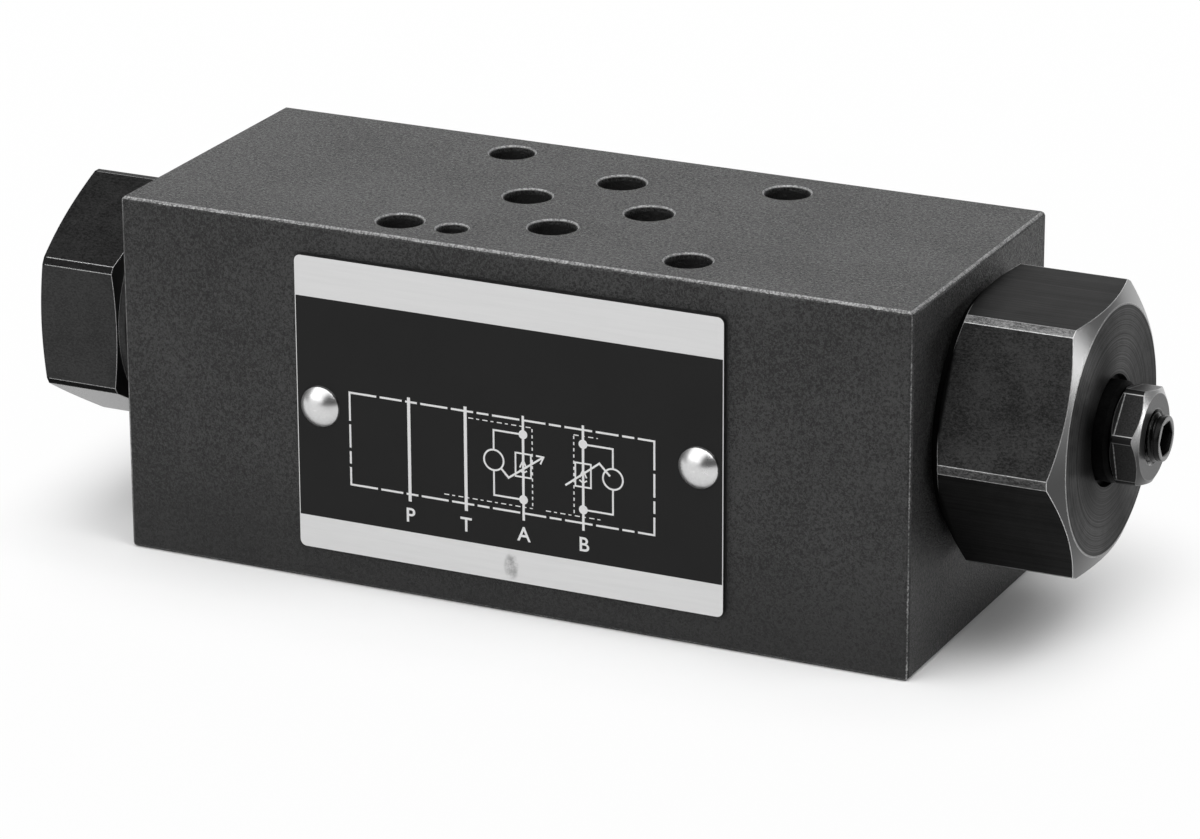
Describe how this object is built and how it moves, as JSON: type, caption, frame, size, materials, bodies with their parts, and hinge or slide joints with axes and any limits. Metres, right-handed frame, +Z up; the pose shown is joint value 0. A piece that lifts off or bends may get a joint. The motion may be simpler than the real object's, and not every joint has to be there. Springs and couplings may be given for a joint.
{
  "type": "hydraulic sandwich valve",
  "caption": "Black steel sandwich valve block with hexagon end caps, a lock-nutted adjusting screw, a riveted circuit plate and standard port and bolt holes.",
  "frame": {"origin": "centre of the mounting pattern on the base face", "axes": "+X towards the adjuster, -Y the face with the plate, +Z up towards the next valve of the stack"},
  "size_m": [0.1548, 0.0471, 0.049],
  "materials": {
    "body_iron": "black phosphate with a fine grain, bright worn edges",
    "cap_steel": "black oxide, satin, turned end face",
    "nut_steel": "black oxide with worn corners",
    "screw_steel": "black oxide thread",
    "plate_aluminium": "satin aluminium with a black field",
    "rivet_nickel": "polished nickel",
    "seal_rubber": "matt",
    "ground_steel": "ground",
    "spring_steel": "oiled wire"
  },
  "bodies": {
    "valve": {"valve_body": "body_iron", "name_plate": "plate_aluminium", "plate_rivets": "rivet_nickel", "adjuster_cap": "cap_steel", "adjuster_cap_o_ring": "seal_rubber", "relief_spring_a": "spring_steel", "seat_sleeve_a": "ground_steel", "sleeve_o_ring_a": "seal_rubber", "end_cap": "cap_steel", "end_cap_o_ring": "seal_rubber", "setting_shim": "ground_steel", "relief_spring_b": "spring_steel", "seat_sleeve_b": "ground_steel", "sleeve_o_ring_b": "seal_rubber", "port_o_ring_p": "seal_rubber", "port_o_ring_t": "seal_rubber", "port_o_ring_a": "seal_rubber", "port_o_ring_b": "seal_rubber"},
    "spring_carrier": {"spring_guide": "ground_steel", "spring_guide_o_ring": "seal_rubber"},
    "screw": {"adjusting_screw": "screw_steel"},
    "washer": {"seal_washer": "seal_rubber"},
    "nut": {"lock_nut": "nut_steel"},
    "poppet_a": {"relief_poppet_a": "ground_steel"},
    "poppet_b": {"relief_poppet_b": "ground_steel"}
  },
  "joints": [
    {"name": "adjuster_advance", "type": "slide", "parent": "valve", "child": "spring_carrier", "axis": [-1, 0, 0], "range_m": [-0.002, 0.003], "deforming": ["relief_spring_a"]},
    {"name": "adjuster_turn", "type": "hinge", "parent": "spring_carrier", "child": "screw", "pos_m": [0.07, 0, 0.029], "axis": [-1, 0, 0], "range_deg": [-720, 1080]},
    {"name": "lock_nut_lift", "type": "slide", "parent": "valve", "child": "washer", "axis": [1, 0, 0], "range_m": [0, 0.0015]},
    {"name": "lock_nut_turn", "type": "hinge", "parent": "washer", "child": "nut", "pos_m": [0.075, 0, 0.029], "axis": [1, 0, 0], "range_deg": [0, 540]},
    {"name": "poppet_a_lift", "type": "slide", "parent": "valve", "child": "poppet_a", "axis": [1, 0, 0], "range_m": [0, 0.0015], "stiffness_N_per_m": 20000, "deforming": ["relief_spring_a"]},
    {"name": "poppet_b_lift", "type": "slide", "parent": "valve", "child": "poppet_b", "axis": [-1, 0, 0], "range_m": [0, 0.0015], "stiffness_N_per_m": 20000, "deforming": ["relief_spring_b"]}
  ],
  "couplings": [
    {"joint": "adjuster_turn", "follows": "adjuster_advance", "rad_per_m": 6283.2},
    {"joint": "lock_nut_turn", "follows": "lock_nut_lift", "rad_per_m": 6283.2}
  ]
}
